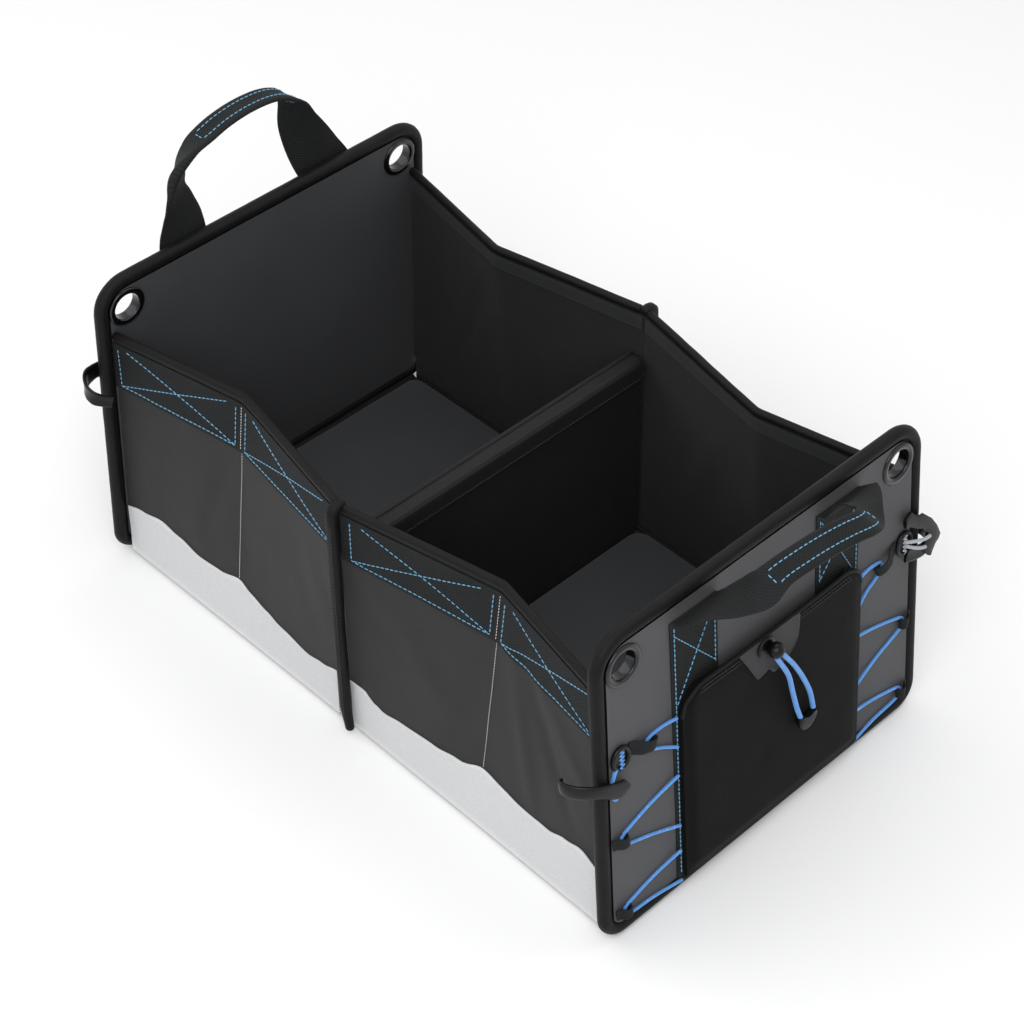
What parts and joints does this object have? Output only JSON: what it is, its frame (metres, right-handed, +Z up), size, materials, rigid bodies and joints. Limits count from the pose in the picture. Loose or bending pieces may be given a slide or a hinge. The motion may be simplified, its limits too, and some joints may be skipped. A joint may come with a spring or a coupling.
{
  "type": "car storage box",
  "caption": "Collapsible fabric boot box with stiff leaning end panels, folded side walls, a lift-out divider, webbing handles, a front pouch, elastic lacing and tie-down hooks.",
  "frame": {"origin": "middle of the bottom fabric, on the plane that the box rests on", "axes": "+X towards the end panel with the pouch, +Y along the width to the wall on its left when seen from behind the pouch, +Z up"},
  "size_m": [0.7106, 0.4288, 0.4162],
  "materials": {
    "panel_fabric": "matt woven",
    "wall_fabric": "matt woven",
    "silver_fabric": "reflective fabric, satin",
    "binding": "matt tape",
    "webbing": "woven webbing",
    "board_fabric": "matt woven",
    "divider_fabric": "matt woven",
    "pouch_fabric": "matt woven",
    "patch": "matt woven",
    "eyelet": "black, semi-gloss",
    "plastic": "black, satin",
    "elastic": "braided"
  },
  "bodies": {
    "box": {"front_panel": "panel_fabric", "front_panel_binding": "binding", "front_near_grommet": "eyelet", "front_near_strip": "webbing", "front_near_hook": "plastic", "front_near_hook_ring": "plastic", "front_far_grommet": "eyelet", "front_far_strip": "webbing", "front_far_hook": "plastic", "front_far_hook_ring": "plastic", "back_panel": "panel_fabric", "back_panel_binding": "binding", "back_near_grommet": "eyelet", "back_near_strip": "webbing", "back_near_hook": "plastic", "back_near_hook_ring": "plastic", "back_far_grommet": "eyelet", "back_far_strip": "webbing", "back_far_hook": "plastic", "back_far_hook_ring": "plastic", "near_rear_wall": "wall_fabric", "near_rear_top_webbing": "webbing", "near_rear_top_binding": "binding", "near_front_wall": "wall_fabric", "near_front_top_webbing": "webbing", "near_front_top_binding": "binding", "near_lower_band": "silver_fabric", "near_rib_binding": "binding", "near_lace": "elastic", "near_lace_tab_1": "webbing", "near_lace_tab_2": "webbing", "near_lace_tab_3": "webbing", "far_rear_wall": "wall_fabric", "far_rear_top_webbing": "webbing", "far_rear_top_binding": "binding", "far_front_wall": "wall_fabric", "far_front_top_webbing": "webbing", "far_front_top_binding": "binding", "far_lower_band": "silver_fabric", "far_rib_binding": "binding", "far_lace": "elastic", "far_lace_tab_1": "webbing", "far_lace_tab_2": "webbing", "far_lace_tab_3": "webbing", "bottom_fabric": "wall_fabric", "base_board_front": "board_fabric", "base_board_rear": "board_fabric", "pouch": "pouch_fabric", "closure_patch": "patch", "toggle_ball": "plastic", "toggle_loop_near": "elastic", "toggle_loop_far": "elastic", "toggle_cord_end": "plastic"},
    "front_handle": {"front_handle": "webbing"},
    "back_handle": {"back_handle": "webbing"},
    "divider": {"divider_board": "divider_fabric", "divider_top_hem": "divider_fabric"}
  },
  "joints": [
    {"name": "front_handle_swing", "type": "hinge", "parent": "box", "child": "front_handle", "pos_m": [0.3002, 0, 0.29357], "axis": [0, 1, 0], "range_deg": [-40, 60]},
    {"name": "back_handle_swing", "type": "hinge", "parent": "box", "child": "back_handle", "pos_m": [-0.31143, 0, 0.29403], "axis": [0, -1, 0], "range_deg": [0, 150]},
    {"name": "divider_lift", "type": "slide", "parent": "box", "child": "divider", "axis": [0, 0, 1], "range_m": [0, 0.3]}
  ]
}
